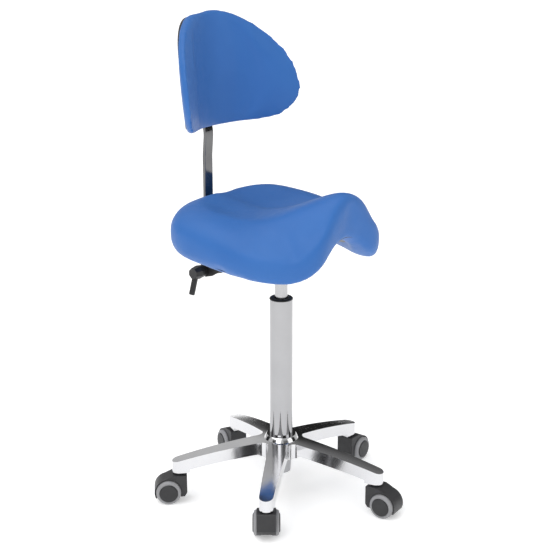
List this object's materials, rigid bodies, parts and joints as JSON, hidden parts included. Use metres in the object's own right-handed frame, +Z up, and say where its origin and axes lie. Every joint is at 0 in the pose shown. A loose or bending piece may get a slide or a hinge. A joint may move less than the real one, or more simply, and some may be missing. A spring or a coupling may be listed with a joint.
{
  "type": "dentist stool",
  "caption": "Height-adjustable saddle stool with a wrapped backrest on a flat bar, gas-lift column, star base and twin-wheel casters.",
  "frame": {"origin": "on the column's axis, at floor level", "axes": "+X the way the sitter faces, +Y the sitter's left, +Z up"},
  "size_m": [0.5506, 0.5138, 1.053],
  "materials": {
    "base_metal": "polished die-cast",
    "chrome": "bright chrome plating",
    "tube_steel": "ground",
    "bright_steel": "zinc plated",
    "caster_plastic": "moulded, fine grain",
    "black_plastic": "moulded",
    "black_steel": "black powder coat",
    "tread": "soft grey polyurethane",
    "upholstery": "smooth blue artificial leather"
  },
  "bodies": {
    "base": {"star_base": "base_metal", "column_tube": "chrome", "column_collar": "black_plastic", "guide_bush": "black_plastic", "thrust_bearing": "bright_steel", "caster_sockets": "bright_steel"},
    "caster_1": {"caster_1_hood": "caster_plastic", "caster_1_pins": "bright_steel"},
    "caster_1_roller_a": {"caster_1_wheel_a": "caster_plastic", "caster_1_tread_a": "tread"},
    "caster_1_roller_b": {"caster_1_wheel_b": "caster_plastic", "caster_1_tread_b": "tread"},
    "caster_2": {"caster_2_hood": "caster_plastic", "caster_2_pins": "bright_steel"},
    "caster_2_roller_a": {"caster_2_wheel_a": "caster_plastic", "caster_2_tread_a": "tread"},
    "caster_2_roller_b": {"caster_2_wheel_b": "caster_plastic", "caster_2_tread_b": "tread"},
    "caster_3": {"caster_3_hood": "caster_plastic", "caster_3_pins": "bright_steel"},
    "caster_3_roller_a": {"caster_3_wheel_a": "caster_plastic", "caster_3_tread_a": "tread"},
    "caster_3_roller_b": {"caster_3_wheel_b": "caster_plastic", "caster_3_tread_b": "tread"},
    "caster_4": {"caster_4_hood": "caster_plastic", "caster_4_pins": "bright_steel"},
    "caster_4_roller_a": {"caster_4_wheel_a": "caster_plastic", "caster_4_tread_a": "tread"},
    "caster_4_roller_b": {"caster_4_wheel_b": "caster_plastic", "caster_4_tread_b": "tread"},
    "caster_5": {"caster_5_hood": "caster_plastic", "caster_5_pins": "bright_steel"},
    "caster_5_roller_a": {"caster_5_wheel_a": "caster_plastic", "caster_5_tread_a": "tread"},
    "caster_5_roller_b": {"caster_5_wheel_b": "caster_plastic", "caster_5_tread_b": "tread"},
    "lift_rod": {"piston_rod": "tube_steel", "piston": "black_plastic", "rod_clip": "bright_steel"},
    "seat": {"pressure_tube": "tube_steel", "seat_plate": "black_steel", "lever_pivot_pin": "bright_steel", "seat_shell": "black_plastic", "seat_cushion": "upholstery", "seat_screws": "bright_steel", "backrest_arm": "black_steel", "arm_bolts": "bright_steel", "clamp_bolt": "bright_steel"},
    "valve": {"valve_pin": "bright_steel"},
    "height_control": {"height_lever": "black_steel", "lever_grip": "black_plastic"},
    "clamp": {"clamp_lever": "black_plastic"},
    "bar": {"backrest_bar": "chrome", "bar_end_cap": "black_plastic"},
    "backrest": {"backrest_carriage": "black_steel", "backrest_shell": "black_plastic", "backrest_cushion": "upholstery", "backrest_screws": "bright_steel"},
    "knob": {"height_knob": "black_plastic"}
  },
  "joints": [
    {"name": "caster_1_swivel", "type": "hinge", "parent": "base", "child": "caster_1", "pos_m": [0.12203, -0.19378, 0.08], "axis": [0, 0, 1], "continuous": true},
    {"name": "caster_1_roll_a", "type": "hinge", "parent": "caster_1", "child": "caster_1_roller_a", "pos_m": [0.1066, -0.17539, 0.0275], "axis": [-0.766, -0.6428, 0], "continuous": true},
    {"name": "caster_1_roll_b", "type": "hinge", "parent": "caster_1", "child": "caster_1_roller_b", "pos_m": [0.1066, -0.17539, 0.0275], "axis": [-0.766, -0.6428, 0], "continuous": true},
    {"name": "caster_2_swivel", "type": "hinge", "parent": "base", "child": "caster_2", "pos_m": [0.222, 0.05618, 0.08], "axis": [0, 0, 1], "continuous": true},
    {"name": "caster_2_roll_a", "type": "hinge", "parent": "caster_2", "child": "caster_2_roller_a", "pos_m": [0.24577, 0.05952, 0.0275], "axis": [-0.1392, 0.9903, 0], "continuous": true},
    {"name": "caster_2_roll_b", "type": "hinge", "parent": "caster_2", "child": "caster_2_roller_b", "pos_m": [0.24577, 0.05952, 0.0275], "axis": [-0.1392, 0.9903, 0], "continuous": true},
    {"name": "caster_3_swivel", "type": "hinge", "parent": "base", "child": "caster_3", "pos_m": [0.01518, 0.2285, 0.08], "axis": [0, 0, 1], "continuous": true},
    {"name": "caster_3_roll_a", "type": "hinge", "parent": "caster_3", "child": "caster_3_roller_a", "pos_m": [0.01392, 0.25246, 0.0275], "axis": [-0.9986, -0.0523, 0], "continuous": true},
    {"name": "caster_3_roll_b", "type": "hinge", "parent": "caster_3", "child": "caster_3_roller_b", "pos_m": [0.01392, 0.25246, 0.0275], "axis": [-0.9986, -0.0523, 0], "continuous": true},
    {"name": "caster_4_swivel", "type": "hinge", "parent": "base", "child": "caster_4", "pos_m": [-0.21262, 0.08504, 0.08], "axis": [0, 0, 1], "continuous": true},
    {"name": "caster_4_roll_a", "type": "hinge", "parent": "caster_4", "child": "caster_4_roller_a", "pos_m": [-0.23472, 0.09442, 0.0275], "axis": [-0.3907, -0.9205, 0], "continuous": true},
    {"name": "caster_4_roll_b", "type": "hinge", "parent": "caster_4", "child": "caster_4_roller_b", "pos_m": [-0.23472, 0.09442, 0.0275], "axis": [-0.3907, -0.9205, 0], "continuous": true},
    {"name": "caster_5_swivel", "type": "hinge", "parent": "base", "child": "caster_5", "pos_m": [-0.14658, -0.17594, 0.08], "axis": [0, 0, 1], "continuous": true},
    {"name": "caster_5_roll_a", "type": "hinge", "parent": "caster_5", "child": "caster_5_roller_a", "pos_m": [-0.16356, -0.19291, 0.0275], "axis": [0.7071, -0.7071, 0], "continuous": true},
    {"name": "caster_5_roll_b", "type": "hinge", "parent": "caster_5", "child": "caster_5_roller_b", "pos_m": [-0.16356, -0.19291, 0.0275], "axis": [0.7071, -0.7071, 0], "continuous": true},
    {"name": "seat_swivel", "type": "hinge", "parent": "base", "child": "lift_rod", "pos_m": [0, 0, 0.06], "axis": [0, 0, 1], "continuous": true},
    {"name": "seat_lift", "type": "slide", "parent": "lift_rod", "child": "seat", "axis": [0, 0, 1], "range_m": [-0.075, 0.115]},
    {"name": "height_lever_lift", "type": "hinge", "parent": "seat", "child": "height_control", "pos_m": [0, 0.028, 0.5775], "axis": [1, 0, 0], "range_deg": [0, 8], "stiffness_Nm_per_rad": 2, "springref_deg": -3.44},
    {"name": "valve_press", "type": "slide", "parent": "seat", "child": "valve", "axis": [0, 0, 1], "range_m": [-0.004, 0]},
    {"name": "backrest_tilt", "type": "hinge", "parent": "seat", "child": "bar", "pos_m": [-0.21, 0, 0.483], "axis": [0, -1, 0], "range_deg": [0, 14]},
    {"name": "clamp_turn", "type": "hinge", "parent": "seat", "child": "clamp", "pos_m": [-0.21, -0.036, 0.483], "axis": [0, -1, 0], "range_deg": [-60, 60]},
    {"name": "backrest_height", "type": "slide", "parent": "bar", "child": "backrest", "axis": [-0.158, 0, 0.9874], "range_m": [-0.025, 0.018]},
    {"name": "height_knob_turn", "type": "hinge", "parent": "backrest", "child": "knob", "pos_m": [-0.21896, 0, 0.87097], "axis": [-0.9874, 0, -0.158], "range_deg": [-90, 90]}
  ],
  "couplings": [
    {"joint": "valve_press", "follows": "height_lever_lift", "m_per_rad": -0.028}
  ]
}
